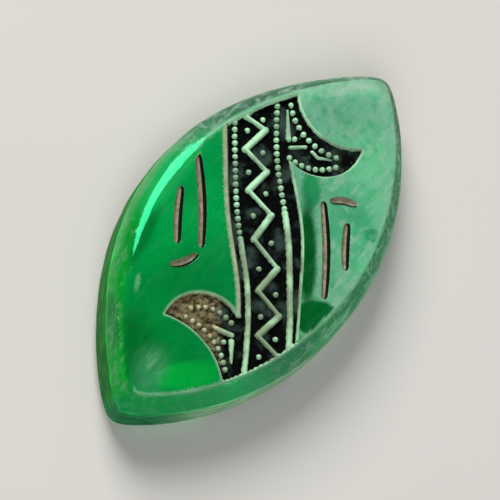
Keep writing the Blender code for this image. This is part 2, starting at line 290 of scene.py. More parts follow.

# Zones within the stone: middle x and y, half length and half width, turn in degrees, tint, strength,
# softness and frost. Some are the stone's own tone and cloud; the others are painted light and shade, each
# marked where it stands
TONE_ZONES_AND_PAINTED_LIGHT = (
    (-12.0, 1.0, 8.5, 5.5, 12, linear(0, 165, 80), 0.8, 0.9, 0.06),
    (-18.0, 3.0, 3.6, 3.4, 30, linear(0, 120, 45), 0.8, 1.0, 0.06),
    # Painted glow of light passing through the stone near the near tip
    (-16.0, -3.4, 3.6, 1.3, -40, linear(0, 235, 90), 0.95, 0.5, 0.06),
    (-18.2, -0.2, 2.3, 1.5, 20, linear(100, 195, 150), 0.6, 1.2, 0.45),
    # Painted light and shade, these four: dark and bright streaks and a glint where light refracted in the
    # left side falls
    (-7.5, 8.4, 4.2, 0.7, 12, linear(0, 150, 55), 0.8, 0.8, 0.06),
    (-12.8, 8.3, 3.2, 0.45, 26, linear(40, 255, 120), 0.9, 0.7, 0.05),
    (-15.0, 6.2, 3.2, 0.5, 34, linear(0, 120, 40), 0.75, 0.8, 0.05),
    (-11.9, 6.0, 0.9, 0.24, 24, linear(150, 255, 190), 1.0, 0.6, 0.05),
    # Painted highlight where the key light's reflection falls on the left crown
    (-0.5, 9.6, 5.0, 0.9, 2, linear(0, 235, 120), 0.8, 0.7, 0.05),
    (7.2, -1.4, 2.2, 1.0, 36, linear(0, 190, 115), 0.9, 0.8, 0.15),
    # Painted shade, these two: dark bands where the back's facets show dark through the stone
    (1.6, -5.0, 5.2, 0.95, 36, linear(0, 105, 35), 1.0, 0.6, 0.12),
    (-3.0, -9.6, 1.9, 2.3, 36, linear(0, 122, 52), 1.0, 0.14, 0.12),
    (7.4, -9.1, 1.2, 0.8, 75, linear(50, 165, 100), 0.9, 0.12, 0.40),
    (7.0, -6.5, 4.5, 2.6, 40, linear(90, 230, 175), 0.6, 1.0, 0.50),
    (18.3, 1.8, 2.7, 0.5, -39, linear(225, 255, 238), 0.85, 0.8, 0.65),
)

# Painted light on the soft left crown, in the same terms: a broad painted highlight where the key light's
# reflection falls, and bright and dark bands of painted light and shade below it
PAINTED_CROWN_LIGHT_AND_SHADE = (
    (0.4, 10.3, 5.6, 1.3, 2, linear(50, 255, 140), 0.95, 0.9, 0.20),
    (-8.5, 10.2, 3.6, 0.35, 22, linear(40, 255, 110), 0.7, 0.9, 0.30),
    (-14.2, 7.6, 3.4, 0.30, 33, linear(20, 245, 100), 0.8, 0.9, 0.30),
    (-16.2, 5.4, 3.0, 0.35, 40, linear(0, 120, 36), 0.8, 0.9, 0.30),
)

# Colours of the materials
STONE_SHADE = linear(0, 110, 45)
STONE_VEIN = linear(170, 245, 205)
STONE_LIP = linear(170, 225, 185)
CLOUD_SHADE = linear(80, 210, 145)
CLOUD_FLECK = linear(215, 255, 236)
CLOUD_VEIN = linear(228, 255, 242)
WALL_STREAK = linear(150, 172, 154)
GROUND_BLACK = linear(1, 3, 2)
GROUND_GREY = linear(44, 60, 54)
RELIEF_PALE = linear(160, 208, 168)
RELIEF_GREY = linear(126, 158, 128)
RELIEF_DUST = linear(118, 138, 108)
SOIL_DARK = linear(48, 40, 26)
SOIL_TAN = linear(112, 100, 70)
SOIL_WORN = linear(132, 128, 98)
SOIL_PALE = linear(184, 186, 152)
PATINA_TAN = linear(138, 132, 108)
PATINA_BROWN = linear(100, 98, 76)
PATINA_LIP = linear(150, 190, 150)
# Black painted as shadow along one side of each stroke and along the tan strip by the band's groove
PAINTED_SHADOW_BLACK = linear(3, 6, 4)
FLOOR_GREY = linear(180, 178, 174)
FLOOR_PALE = linear(188, 186, 182)

# Gloss of the materials, and how clear the stone is
STONE_CLEARNESS = 0.75
STONE_IOR = 1.5
STONE_SPECULAR = 0.7
STONE_SPECULAR_TINT = (0.06, 1.0, 0.5, 1.0)
WALL_SPECULAR = 0.15
CARVING_SPECULAR = 0.03
PATINA_SPECULAR = 0.12
FLOOR_ROUGHNESS = 0.8

# Noise of the materials: cells to the millimetre, detail, roughness, stretch and turn in degrees
CLOUDS = (0.22, 4.0)
VEINS = (1.5, 6.0, 0.65, (0.16, 1.0, 0.8), 4)
FLECKS = (1.1, 7.0, 0.7)
SCRATCHES = (1.6, 3.0, 0.6, (1.0, 0.12, 1.0), -38)
WAVES = (0.35, 2.0)
RIPPLES = (0.8, 3.0)
WALL_STREAKS = (1.4, 5.0, 0.6, (0.18, 0.6, 1.6))
CARVING_GRIT = (2.2, 5.0, 0.6)
CARVING_STAIN = (0.5, 4.0)
PATINA_GRIT = (1.8, 5.0, 0.6)
FLOOR_SPECKS = (0.02, 3.0)

# How values turn into shares and roughness: their low and high, and what these become if not 0 and 1
STONE_SHADE_SHARE = (0.42, 0.72, 0.0, 0.24)
STONE_VEIN_SHARE = (0.44, 0.74, 0.0, 0.6)
STONE_LIP_SHARE = (0.25, 0.8)
CLOUDY_SHARE = (0.15, 0.5)
CLOUD_SHADE_SHARE = (0.34, 0.50, 0.6, 0.0)
CLOUD_FLECK_SHARE = (0.50, 0.64, 0.0, 0.7)
CLOUD_VEIN_SHARE = (0.52, 0.68, 0.0, 0.75)
FROST_ROUGHNESS = (0.0, 1.0, 0.015, 0.62)
LIP_ROUGHNESS = (0.0, 1.0, 0.0, 0.5)
SCRATCH_ROUGHNESS = (0.45, 0.8, 0.02, 0.35)
RIPPLED_SHARE = (0.10, 0.22)
WALL_STREAK_SHARE = (0.35, 0.7, 0.0, 0.7)
WALL_ROUGHNESS = (0.3, 0.7, 0.5, 0.75)
GRIT_WEAR = (0.3, 0.7, -0.12, 0.12)
GROUND_GREY_SHARE = (0.48, 0.72)
RELIEF_GREY_SHARE = (0.4, 0.65)
DUST_SHARE = (0.35, 0.6, 0.35, 1.0)
RELIEF_SHARE = (0.18, 0.42)
SOIL_GRAIN_SHARE = (0.35, 0.65)
SOIL_WORN_SHARE = (0.36, 0.66)
CARVING_ROUGHNESS = (0.3, 0.9, 0.62, 0.36)
PATINA_BROWN_SHARE = (0.35, 0.65)
PATINA_LIP_SHARE = (0.2, 0.8, 0.0, 0.3)
PAINTED_SHADOW_BLACK_SHARE = (0.3, 0.7)
PATINA_ROUGHNESS = (0.3, 0.7, 0.45, 0.7)

# Depth of the noise where it is bumped
WAVE_DEPTH = 0.05
RIPPLE_DEPTH = 0.05
SCRATCH_DEPTH = 0.04
STREAK_DEPTH = 0.06
GRIT_DEPTH = 0.05

# Studio: lights with their place in metres, size, power and colour, an even pale surround, and the floor
KEY_LIGHT = ((0.34, 0.52, 0.56), 0.50, 9.5, (1.0, 0.98, 0.95))
FILL_LIGHT = ((-0.55, -0.20, 0.70), 0.60, 4.5, (1.0, 1.0, 1.0))
SURROUND_COLOUR = (0.93, 0.96, 1.0, 1.0)
SURROUND_STRENGTH = 0.22
FLOOR_REACH = 1500
FLOOR_DROP = 0.02

# View of the photograph
FRAME_PIXELS = 500
PIXELS_PER_MM = 10.41
VIEW_TILT = math.radians(25)
ROLL_COS = 0.628
ROLL_SIN = 0.778
SENSOR_WIDTH = 36.0
CAMERA_DISTANCE = 1.2
CAMERA_CLIP = 0.01
GEM_PIXEL_X = 253.6
GEM_PIXEL_Y = 253.4
VIEW_MIDDLE = (0.0, -0.905, 2.98)


def arch_share(along, flatness):
    """Height of a bowed side at a share of the half length: 1 at the middle and 0 at the tip."""
    reach = 1 + flatness
    edge = math.sqrt(reach ** 2 - 1)
    bow = (np.sqrt(reach ** 2 - along ** 2) - edge) / (reach - edge)
    return np.sqrt((1 - TIP_ROUNDNESS) * bow ** 2 + TIP_ROUNDNESS * (1 - along ** 2))


def outline(half_length, left_bulge, right_bulge):
    """One ring of the stone, from the +X tip round by the left side."""
    turn = np.linspace(0, 2 * math.pi, OUTLINE_POINTS, endpoint=False)
    along = np.cos(turn)
    left = left_bulge * arch_share(along, LEFT_FLATNESS)
    right = -right_bulge * arch_share(along, RIGHT_FLATNESS)
    return np.column_stack([half_length * along, TIP_LINE_Y + np.where(np.sin(turn) >= 0, left, right)])


def table_outline(inset):
    half_length = HALF_LENGTH - TIP_INSET - inset
    return outline(half_length, LEFT_BULGE - LEFT_INSET - inset, RIGHT_BULGE - RIGHT_INSET - inset)


def ramp(distance, run):
    """Rises smoothly from 0 to 1 over a run."""
    share = np.clip(distance / run, 0.0, 1.0)
    return share * share * (3 - 2 * share)


def lumps(points, size, seed):
    """Smooth noise between -1 and 1 over the table."""
    return np.array([noise.noise(Vector((x / size, y / size, seed))) for x, y in points])


def to_carving(points):
    """Points of the table as places along and across the band."""
    offset = points - (CARVING_X, CARVING_Y)
    along = offset[:, 0] * math.cos(CARVING_TURN) + offset[:, 1] * math.sin(CARVING_TURN)
    across = offset[:, 1] * math.cos(CARVING_TURN) - offset[:, 0] * math.sin(CARVING_TURN)
    return np.column_stack([along, across])


def bell(along, middle, run):
    """A smooth hump, 1 at its middle and 0 at half its run to either side."""
    offset = np.minimum(np.abs(along - middle), run / 2)
    return np.cos(math.pi * offset / run) ** 2


def sway(along):
    return BAND_SWAY * np.sin(math.pi * (along - SWAY_START) / SWAY_RUN)


def row_offset(along):
    return ROW_OFFSET + ROW_SWELL * bell(along, 0.0, ROW_SWELL_RUN)


def left_row(along):
    return sway(along) + row_offset(along)


def right_row(along):
    return sway(along) - row_offset(along)


def left_edge(along):
    return left_row(along) + BEAD_RADIUS + LEFT_GROOVE


def right_edge(along):
    swell = RIGHT_SWELL * bell(along, RIGHT_SWELL_AT, RIGHT_SWELL_RUN)
    return right_row(along) - BEAD_RADIUS - RIGHT_GROOVE - swell


def arc(circle, first, last, count):
    centre_along, centre_across, radius = circle
    angles = np.radians(np.linspace(first, last, count + 1))
    return np.column_stack([centre_along + radius * np.cos(angles), centre_across + radius * np.sin(angles)])


def horn_outline(belly, belly_arc, hollow, hollow_arc, row):
    """Outline of one horn, closed inside the band."""
    path = np.concatenate([arc(belly, *belly_arc, HORN_SAMPLES), arc(hollow, *hollow_arc, HORN_SAMPLES)])
    first = path[0, 0]
    last = path[-1, 0]
    return np.concatenate([path, [(last, row(last)), (first, row(first))]])


def depth_inside(points, corners):
    """Distance from each point to a closed outline, positive inside it."""
    nearest = np.full(len(points), np.inf)
    inside = np.zeros(len(points), bool)
    for start, end in zip(corners, np.roll(corners, -1, axis=0)):
        run = end - start
        offset = points - start
        share = np.clip(offset @ run / (run @ run), 0.0, 1.0)
        gap = offset - share[:, None] * run
        nearest = np.minimum(nearest, (gap ** 2).sum(axis=1))
        spans = (start[1] > points[:, 1]) != (end[1] > points[:, 1])
        if spans.any():
            inside ^= spans & (offset[:, 0] < offset[:, 1] * run[0] / run[1])
    return np.where(inside, 1.0, -1.0) * np.sqrt(nearest)


def follow(points, path):
    """Distance to an open path, the side of it that each point is on, and the share of its length gone by."""
    path = np.array(path, float)
    lengths = np.hypot(*np.diff(path, axis=0).T)
    gone = np.concatenate([[0.0], np.cumsum(lengths)]) / lengths.sum()
    nearest = np.full(len(points), np.inf)
    side = np.zeros(len(points))
    along = np.zeros(len(points))
    for i, length in enumerate(lengths):
        run = path[i + 1] - path[i]
        offset = points - path[i]
        share = np.clip(offset @ run / length ** 2, 0.0, 1.0)
        gap = ((offset - share[:, None] * run) ** 2).sum(axis=1)
        closer = gap < nearest
        nearest = np.where(closer, gap, nearest)
        side = np.where(closer, np.sign(run[0] * offset[:, 1] - run[1] * offset[:, 0]), side)
        along = np.where(closer, gone[i] + share * (gone[i + 1] - gone[i]), along)
    return np.sqrt(nearest), side, along


def measure(points):
    """How far each point of the table lies inside the table, the band, the horns and the sunk ground."""
    places = to_carving(points)
    along, across = places.T
    edge = depth_inside(points, table_outline(0.0))
    band = np.minimum(left_edge(along) - across, across - right_edge(along))
    upper_horn = horn_outline(UPPER_BELLY, UPPER_BELLY_ARC, UPPER_HOLLOW, UPPER_HOLLOW_ARC, right_row)
    lower_horn = horn_outline(LOWER_BELLY, LOWER_BELLY_ARC, LOWER_HOLLOW, LOWER_HOLLOW_ARC, left_row)
    upper = depth_inside(places, upper_horn)
    lower = depth_inside(places, lower_horn)
    sunk = np.minimum(np.maximum(band, np.maximum(upper, lower)), edge - RIM)
    return {"places": places, "edge": edge, "band": band, "upper": upper, "lower": lower, "sunk": sunk}


def stroke_path(stroke):
    """Middle line of a bowed stroke."""
    start = np.array(stroke[:2])
    run = np.array(stroke[2:4]) - start
    side = np.array([-run[1], run[0]]) / np.hypot(*run)
    share = np.linspace(0.0, 1.0, STROKE_SAMPLES + 1)[:, None]
    return start + run * share + side * stroke[4] * np.sin(math.pi * share)


def stroke_fill(share):
    """How full a stroke is along its length: thin at both ends."""
    return STROKE_TIP + (1 - STROKE_TIP) * np.sqrt(np.sin(math.pi * np.clip(share, 0.0, 1.0)))


def stroke_offsets(places):
    """Distance from the middle of the nearest stroke as a share of its half width, the side, and its fill."""
    offset = np.full(len(places), np.inf)
    side = np.zeros(len(places))
    fill = np.zeros(len(places))
    for stroke in STROKES:
        gap, gap_side, share = follow(places, stroke_path(stroke))
        here = stroke_fill(share)
        reach = gap / (stroke[5] * here)
        closer = reach < offset
        offset = np.where(closer, reach, offset)
        side = np.where(closer, gap_side, side)
        fill = np.where(closer, here, fill)
    return offset, side, fill


def row_places(row):
    """Even places along a bead row, measured along its own line."""
    places = []
    along = BAND_REACH
    while along > -BAND_REACH:
        slope = (row(along) - row(along - BEAD_PITCH)) / BEAD_PITCH
        places.append((along, float(row(along))))
        along -= BEAD_PITCH / math.hypot(1.0, slope)
    return places


def zigzag_turns():
    """Where the zigzag turns, from the top of the band down, on its left and right by turns."""
    turns = []
    along = ZIGZAG_TOP
    for i, step in enumerate(ZIGZAG_STEPS):
        turns.append((along, float(sway(along)) + (ZIGZAG_LEFT if i % 2 == 0 else -ZIGZAG_RIGHT)))
        along -= step
    return turns


def zigzag_dots():
    """One dot in the hollow of each turn of the zigzag."""
    dots = []
    for i, (along, _) in enumerate(zigzag_turns()):
        offset = -RIGHT_DOT_OFFSET if i % 2 == 0 else LEFT_DOT_OFFSET
        dots.append((along - DOT_LAG, float(sway(along)) + offset))
    return dots


def raise_bead(height, places, place, radius, top):
    """A worn round bead, which stands out of whatever lies under it."""
    gap = np.hypot(*(places - place).T) / radius
    near = gap < 1
    dome = top - (BAND_DEPTH + RELIEF_FOOT) * (1 - np.sqrt(1 - gap[near] ** BEAD_CURVE))
    height[near] = np.maximum(height[near], dome)


def raise_line(height, places, path, first_half, last_half, top, bite=0.0):
    """A ridge with a rounded crest and sloping sides, bitten at even steps where beads run together in it."""
    gap, _, share = follow(places, path)
    half = first_half + (last_half - first_half) * share
    if bite:
        length = np.hypot(*np.diff(np.array(path, float), axis=0).T).sum()
        half = half * (1 - bite * np.sin(math.pi * share * length / BEAD_PITCH) ** 4)
    offset = gap / half
    near = offset < 1
    crest = top - (BAND_DEPTH + RELIEF_FOOT) * offset[near] ** RIDGE_CURVE
    height[near] = np.maximum(height[near], crest)


def raise_relief(ground, places):
    """Beads, dots, the zigzag, the ridges under the lower beads and the bars of the horns."""
    height = ground.copy()
    for row, ridge_start in ((left_row, LEFT_RIDGE_START), (right_row, RIGHT_RIDGE_START)):
        for i, place in enumerate(row_places(row)):
            wear = BEAD_WEAR * math.sin(BEAD_VARIETY * i)
            sink = BEAD_SINK * ramp(ridge_start - place[0], BEAD_SINK_RUN)
            raise_bead(height, places, place, BEAD_RADIUS * (BEAD_SWELL + wear), -BEAD_DROP + wear - sink)
    for centre_along, centre_across, radius, first, last, count in HORN_ROWS:
        for place in arc((centre_along, centre_across, radius), first, last, count - 1):
            raise_bead(height, places, place, HORN_BEAD_RADIUS, -HORN_BEAD_DROP)
    for place in zigzag_dots() + list(HORN_DOTS):
        raise_bead(height, places, place, DOT_RADIUS, -DOT_DROP)
    turns = zigzag_turns()
    lead_in = (turns[0][0] + ZIGZAG_LEAD_IN[0], turns[0][1] + ZIGZAG_LEAD_IN[1])
    turns = [lead_in] + turns
    for i in range(len(turns) - 1):
        half = ZIGZAG_WIDTHS[(i + 1) % 2] / 2
        raise_line(height, places, turns[i:i + 2], half, half, -ZIGZAG_DROP)
    for row, start, width in (
        (left_row, LEFT_RIDGE_START, LEFT_RIDGE_WIDTH),
        (right_row, RIGHT_RIDGE_START, RIGHT_RIDGE_WIDTH),
    ):
        along = np.arange(start, -BAND_REACH, -BEAD_PITCH)
        path = np.column_stack([along, row(along)])
        raise_line(height, places, path, width / 2, width / 2, -RIDGE_DROP, RIDGE_BITE)
    for path, first_half, last_half, drop in HORN_BARS:
        raise_line(height, places, path, first_half, last_half, -drop)
    return height


def sunk_floor(at):
    """Depth of the carving's floor at each point: the horns' lies a little higher than the band's."""
    in_horn = np.maximum(at["upper"], at["lower"]) > at["band"]
    return BAND_DEPTH - HORN_STEP * in_horn


def carve_ground(points, at, floor):
    """Height of the sunk ground, with its soft walls, its two deeper grooves and its roughness."""
    along, across = at["places"].T
    ground = -floor * ramp(at["sunk"], WALL_RUN)
    from_left_row = across - left_row(along) - BEAD_RADIUS
    from_right_row = right_row(along) - BEAD_RADIUS - across
    left_groove = np.minimum(left_edge(along) - GROOVE_STEP - across, from_left_row)
    right_groove = np.minimum(from_right_row, across - right_edge(along) - GROOVE_STEP)
    groove = np.minimum(np.maximum(left_groove, right_groove), at["sunk"] - WALL_RUN)
    ground = ground - GROOVE_DROP * ramp(groove, WALL_RUN)
    rough = lumps(points, GROUND_LUMP, GROUND_SEED)
    return ground + GROUND_ROUGHNESS * rough * ramp(at["sunk"], 2 * WALL_RUN)


def soil_layers(points, at):
    """How much each point is under the lower horn's soil, and how high the lumps of that soil stand."""
    along, across = at["places"].T
    clods = 0.5 + lumps(points, SOIL_LUMP, CLOD_SEED) + 0.5 * lumps(points, SOIL_LUMP / 3, CRUMB_SEED)
    from_hollow = np.hypot(along - LOWER_HOLLOW[0], across - LOWER_HOLLOW[1]) - LOWER_HOLLOW[2]
    past_hollow = ramp(from_hollow - SOIL_FROM_HOLLOW, SOIL_HOLLOW_RUN)
    soiled = ramp(at["lower"], SOIL_EDGE) * ramp(across - SOIL_ACROSS, SOIL_RUN) * past_hollow
    return soiled, np.clip(clods, 0.0, 1.0)


def worn_lip(at, beside):
    """How worn the table is close round the carving; the lip is broad along the band's left edge."""
    lip_run = LIP_RUN + HORN_LIP_EXTRA * ramp(at["lower"] + HORN_LIP_REACH, HORN_LIP_RUN)
    lip = ramp(lip_run + at["sunk"], lip_run) * (at["sunk"] < 0)
    near_band = (beside > 0) * (np.abs(at["places"][:, 0]) < LEFT_LIP_REACH)
    return np.maximum(lip, LEFT_LIP_SHARE * ramp(LEFT_LIP - beside, LEFT_LIP_RUN) * near_band)


def tan_strip(at, beside):
    """1 on the tan strip that runs along the band's left edge, and 0 off it."""
    on_band = (np.abs(at["places"][:, 0]) < LEFT_LIP_REACH) * (at["lower"] < -TAN_GAP)
    return ramp(beside + TAN_START, TAN_EDGE) * ramp(TAN_STRIP - beside, TAN_EDGE) * on_band


def shape_table(points):
    """Heights below the table, and what each point is: how raised, soiled, stained and worn, and where shadow
    is painted dark.
    """
    at = measure(points)
    along, across = at["places"].T
    floor = sunk_floor(at)
    ground = carve_ground(points, at, floor)
    height = raise_relief(ground, at["places"])
    keep = ramp(at["edge"] - RIM / 2, WALL_RUN / 2)
    height = np.where(at["sunk"] < 0, np.maximum(height, ground) * keep, height)

    soiled, clods = soil_layers(points, at)
    soil_height = SOIL_FILL * (SOIL_LOWEST + clods) * soiled
    height = np.where(at["sunk"] > 0, np.maximum(height, -floor + soil_height), height)

    offset, side, fill = stroke_offsets(at["places"])
    cut = -STROKE_DEPTH * fill * (1 - np.minimum(offset, 1.0) ** STROKE_CURVE)
    height = np.minimum(height, cut)
    beside = across - left_edge(along)
    lip = worn_lip(at, beside)
    height = height - LIP_DROP * lip ** 3 * (height > -LIP_DROP)
    height = np.minimum(height, 0.0) * (at["edge"] > RIM / 2)

    thin_soil, thick_soil = SOIL_COVER
    # Painted shadow: the side of each stroke where shade falls, and the tan strip towards the band's groove,
    # are painted dark
    stroke_shade = (side > 0) * ramp(offset - STROKE_SHADE_FROM, SHADE_RUN)
    strip_shade = STRIP_SHADE_SHARE * ramp(STRIP_SHADE_TO - beside, SHADE_RUN)
    return height, at, {
        "raised": np.clip((height + BAND_DEPTH) / BAND_DEPTH, 0.0, 1.0),
        "soil": np.clip(soiled * (thin_soil + (thick_soil - thin_soil) * clods), 0.0, 1.0),
        "dust": ramp(DUST_FROM - along, DUST_RUN),
        "tan": tan_strip(at, beside),
        "stroke": np.clip(STROKE_COVER - offset, 0.0, 1.0),
        "shaded_side": np.where(offset < STROKE_SHADE_REACH, stroke_shade, strip_shade),
        "lip": lip,
    }


def lattice(step):
    """Even points over the stone's box, in rows that are staggered."""
    rise = step * math.sqrt(3) / 2
    columns = int(2 * HALF_LENGTH / step) + 2
    rows = int((LEFT_BULGE + RIGHT_BULGE) / rise) + 2
    i, j = np.meshgrid(np.arange(columns), np.arange(rows), indexing="ij")
    x = -HALF_LENGTH + (i + 0.5 * (j % 2)) * step
    y = TIP_LINE_Y - RIGHT_BULGE + j * rise
    return np.column_stack([x.ravel(), y.ravel()])


def finer(points, step):
    """Each point as the cell of a lattice that is finer by the number of parts."""
    part = step / FINE_PARTS
    parts = range(FINE_PARTS)
    shift = [((i + 0.5 * j) * part, j * part * math.sqrt(3) / 2) for i in parts for j in parts]
    return (points[:, None, :] + np.array(shift)[None, :, :]).reshape(-1, 2)


def triangles_over(ring, points):
    """Triangles over a closed convex ring and the points inside it; the ring's points come first."""
    everything = [Vector(point) for point in np.concatenate([ring, points])]
    corners, _, faces, _, _, _ = delaunay_2d_cdt(everything, [], [], 0, 1e-7)
    return np.array([(corner.x, corner.y) for corner in corners]), faces


def softness(x, left):
    """1 along the softly worn left side and 0 along the crisp edges."""
    return ramp(SOFT_TO_X - x, SOFT_RUN) * ramp(x - SOFT_FROM_X, SOFT_NEAR_RUN) * left


def side_corners():
    """Rings along the stone's sharp corners, from the table's edge down to the back's."""
    left_share = SHOULDER_INSET - LEFT_SOFTNESS
    shoulder_z = WALL_TOP_Z + CROWN_HEIGHT * SHOULDER_RISE
    insets = (
        (TIP_INSET, LEFT_INSET, RIGHT_INSET, TABLE_Z),
        (TIP_INSET * SHOULDER_INSET, LEFT_INSET * left_share, RIGHT_INSET * SHOULDER_INSET, shoulder_z),
        (0.0, 0.0, 0.0, WALL_TOP_Z),
        (0.0, 0.0, 0.0, BACK_HEIGHT),
        (BACK_INSET, BACK_INSET, BACK_INSET, 0.0),
    )
    corners = []
    for tip, left, right, z in insets:
        ring = outline(HALF_LENGTH - tip, LEFT_BULGE - left, RIGHT_BULGE - right)
        corners.append(np.column_stack([ring, np.full(OUTLINE_POINTS, z)]))
    return corners


def side_rings():
    """Rings of the stone from the table's edge down to the back, with every corner worn round."""
    corners = side_corners()
    turn = np.linspace(0, 2 * math.pi, OUTLINE_POINTS, endpoint=False)
    soft = softness(corners[0][:, 0], ramp(np.sin(turn), SOFT_SIDE_RUN))
    middle = np.array([0.0, TIP_LINE_Y, 0.0])
    toward_middle = (1 - INWARD_SHARE, 1 - INWARD_SHARE, 1.0)
    inward = [corner * toward_middle + middle * INWARD_SHARE for corner in (corners[0], corners[-1])]
    corners = [inward[0]] + corners + [inward[1]]
    rings = []
    for k, (crisp, softer, most) in enumerate(zip(CRISP_RADII, SOFT_RADII, MOST_OF_FACE), start=1):
        before = corners[k - 1] - corners[k]
        after = corners[k + 1] - corners[k]
        before_length = np.linalg.norm(before, axis=1)
        after_length = np.linalg.norm(after, axis=1)
        radius = np.minimum(crisp + (softer - crisp) * soft, most * np.minimum(before_length, after_length))
        start = corners[k] + before * (radius / before_length)[:, None]
        end = corners[k] + after * (radius / after_length)[:, None]
        if rings:
            last = rings[-1]
            rings += [last + (start - last) * i / FACE_STEPS for i in range(1, FACE_STEPS)]
        for i in range(CORNER_STEPS + 1):
            t = i / CORNER_STEPS
            rings.append(start * (1 - t) ** 2 + corners[k] * 2 * t * (1 - t) + end * t ** 2)
    return rings


def dent(point):
    """How far hand work has set one point of the side in, as a share of the unevenness."""
    large, small = (noise.noise(Vector(point) / size) for size in DENT_SIZES)
    return min(max(MEAN_DENT + large + SMALL_DENT_SHARE * small, 0.0), DEEPEST_DENT)


def worn_sides(rings):
    """Sets the side rings in a little here and there, as hand work leaves them."""
    middle = np.array([0.0, TIP_LINE_Y, 0.0])
    worn = [rings[0]]
    for ring in rings[1:-1]:
        outward = ring * (1, 1, 0) - middle
        outward = outward / np.linalg.norm(outward, axis=1)[:, None]
        dents = np.array([dent(point) for point in ring])
        worn.append(ring - outward * (WALL_UNEVENNESS * dents)[:, None])
    return worn + [rings[-1]]


def table_points(ring):
    """Points of the table inside its worn edge: fine over the carving and coarse elsewhere."""
    coarse = lattice(COARSE_STEP)
    coarse = coarse[depth_inside(coarse, ring) > EDGE_CLEARANCE]
    at = measure(coarse)
    offset, _, _ = stroke_offsets(at["places"])
    near = (at["sunk"] > -FINE_MARGIN) | (offset < STROKE_REACH)
    fine = finer(coarse[near], COARSE_STEP)
    fine = fine[depth_inside(fine, ring) > COARSE_STEP / FINE_PARTS / 2]
    return np.concatenate([coarse[~near], fine])


def add_attribute(mesh, name, values, kind="FLOAT"):
    layer = mesh.attributes.new(name, kind, "POINT")
    if kind == "FLOAT":
        layer.data.foreach_set("value", np.asarray(values, np.float32))
    else:
        layer.data.foreach_set("color", np.asarray(values, np.float32).ravel())


def build_table(ring):
    """The carved table inside a ring: its points and faces, and what each point is."""
    flat, faces = triangles_over(ring[:, :2], table_points(ring[:, :2]))
    height, at, marks = shape_table(flat)
    height[:OUTLINE_POINTS] = 0.0
    return np.column_stack([flat, TABLE_Z + height]), faces, at, marks


def build_back(ring):
    """The flat back inside a ring, a little uneven within its edge."""
    inner = lattice(4 * COARSE_STEP)
    inner = inner[depth_inside(inner, ring[:, :2]) > 2 * COARSE_STEP]
    flat, faces = triangles_over(ring[:, :2], inner)
    rise = BACK_UNEVENNESS * np.clip(lumps(flat, BACK_LUMP, BACK_SEED) + BACK_LUMP_RISE, 0.0, 1.0)
    rise[:OUTLINE_POINTS] = 0.0
    return np.column_stack([flat, rise]), faces


def build_gem():
    """The whole stone as one closed mesh: the table, the rings of the sides and the back."""
    rings = worn_sides(side_rings())
    table, table_faces, at, marks = build_table(rings[0])
    back, back_faces = build_back(rings[-1])
    points = [table]
    faces = [tuple(face) for face in table_faces]
    slots = list(face_slots(table_faces, at, marks))
    upper = np.arange(OUTLINE_POINTS)
    count = len(table)
    for above, ring in zip(rings[:-2], rings[1:-1]):
        lower = count + np.arange(OUTLINE_POINTS)
        points.append(ring)
        faces += skin(upper, lower)
        slots += side_slots(above, ring)
        upper = lower
        count += OUTLINE_POINTS
    points.append(back)
    faces += skin(upper, count + np.arange(OUTLINE_POINTS))
    faces += [tuple(count + corner for corner in reversed(face)) for face in back_faces]
    slots += [STONE_SLOT] * (len(faces) - len(slots))
    return make_gem(np.concatenate(points), faces, slots, at, marks)


def make_gem(points, faces, slots, at, marks):
    """The stone's object, with its slots and the layers that its materials read."""
    mesh = bpy.data.meshes.new("carved_gem")
    mesh.from_pydata((points * MM).tolist(), [], faces)
    mesh.polygons.foreach_set("material_index", slots)
    mesh.polygons.foreach_set("use_smooth", [True] * len(faces))
    off_table = len(points) - len(at["edge"])
    for name, values in marks.items():
        add_attribute(mesh, name, np.concatenate([values, np.zeros(off_table)]))
    at_edge = np.concatenate([at["edge"] < EDGE_CLEARANCE, np.ones(off_table)])
    tint, frost = stone_zones(points, at_edge)
    add_attribute(mesh, "tint", tint, "FLOAT_COLOR")
    add_attribute(mesh, "frost", frost)
    mesh.validate()
    made = bpy.data.objects.new("carved_gem", mesh)
    bpy.context.scene.collection.objects.link(made)
    return made


def skin(upper, lower):
    """Faces between two rings of equal count, the upper one first."""
    return [(int(upper[i]), int(upper[i - 1]), int(lower[i - 1]), int(lower[i])) for i in range(len(upper))]


def face_slots(faces, at, marks):
    """Slot of each face of the table."""
    corners = np.array([face[:3] for face in faces])
    carved = at["sunk"][corners].mean(axis=1) > -CARVED_OVERLAP
    stroke = marks["stroke"][corners].mean(axis=1) > STROKE_COVERED
    tan = marks["tan"][corners].mean(axis=1) > MOSTLY_TAN
    return np.where(stroke | tan, STROKE_SLOT, np.where(carved, CARVING_SLOT, STONE_SLOT))


def side_slots(upper, lower):
    """Slot of each face between two rings: the wall is ground dull, and the rest is clear stone."""
    middle_z = (upper[:, 2] + lower[:, 2]) / 2
    on_wall = (middle_z > BACK_HEIGHT) & (middle_z < WALL_TOP_Z)
    return list(np.where(on_wall, WALL_SLOT, STONE_SLOT))


def oval_reach(x, y, middle_x, middle_y, half_length, half_width, turn):
    """How far out of an oval each point lies: 0 at its middle and 1 on its edge."""
    cos_turn = math.cos(math.radians(turn))
    sin_turn = math.sin(math.radians(turn))
    lengthwise = (x - middle_x) * cos_turn + (y - middle_y) * sin_turn
    crosswise = (y - middle_y) * cos_turn - (x - middle_x) * sin_turn
    return np.hypot(lengthwise / half_length, crosswise / half_width)


def lay(tint, frost, share, colour, new_frost):
    """Tint and frost with a share of another tint and frost laid over them."""
    return tint + (np.array(colour) - tint) * share[:, None], frost + (new_frost - frost) * share


def tint_zones(points, zones, tint, frost):
    """Tint and frost once oval zones are laid over them."""
    x, y, _ = points.T
    for *oval, colour, strength, soft, zone_frost in zones:
        share = strength * ramp(1 + soft / 2 - oval_reach(x, y, *oval), soft)
        tint, frost = lay(tint, frost, share, colour, zone_frost)
    return tint, frost


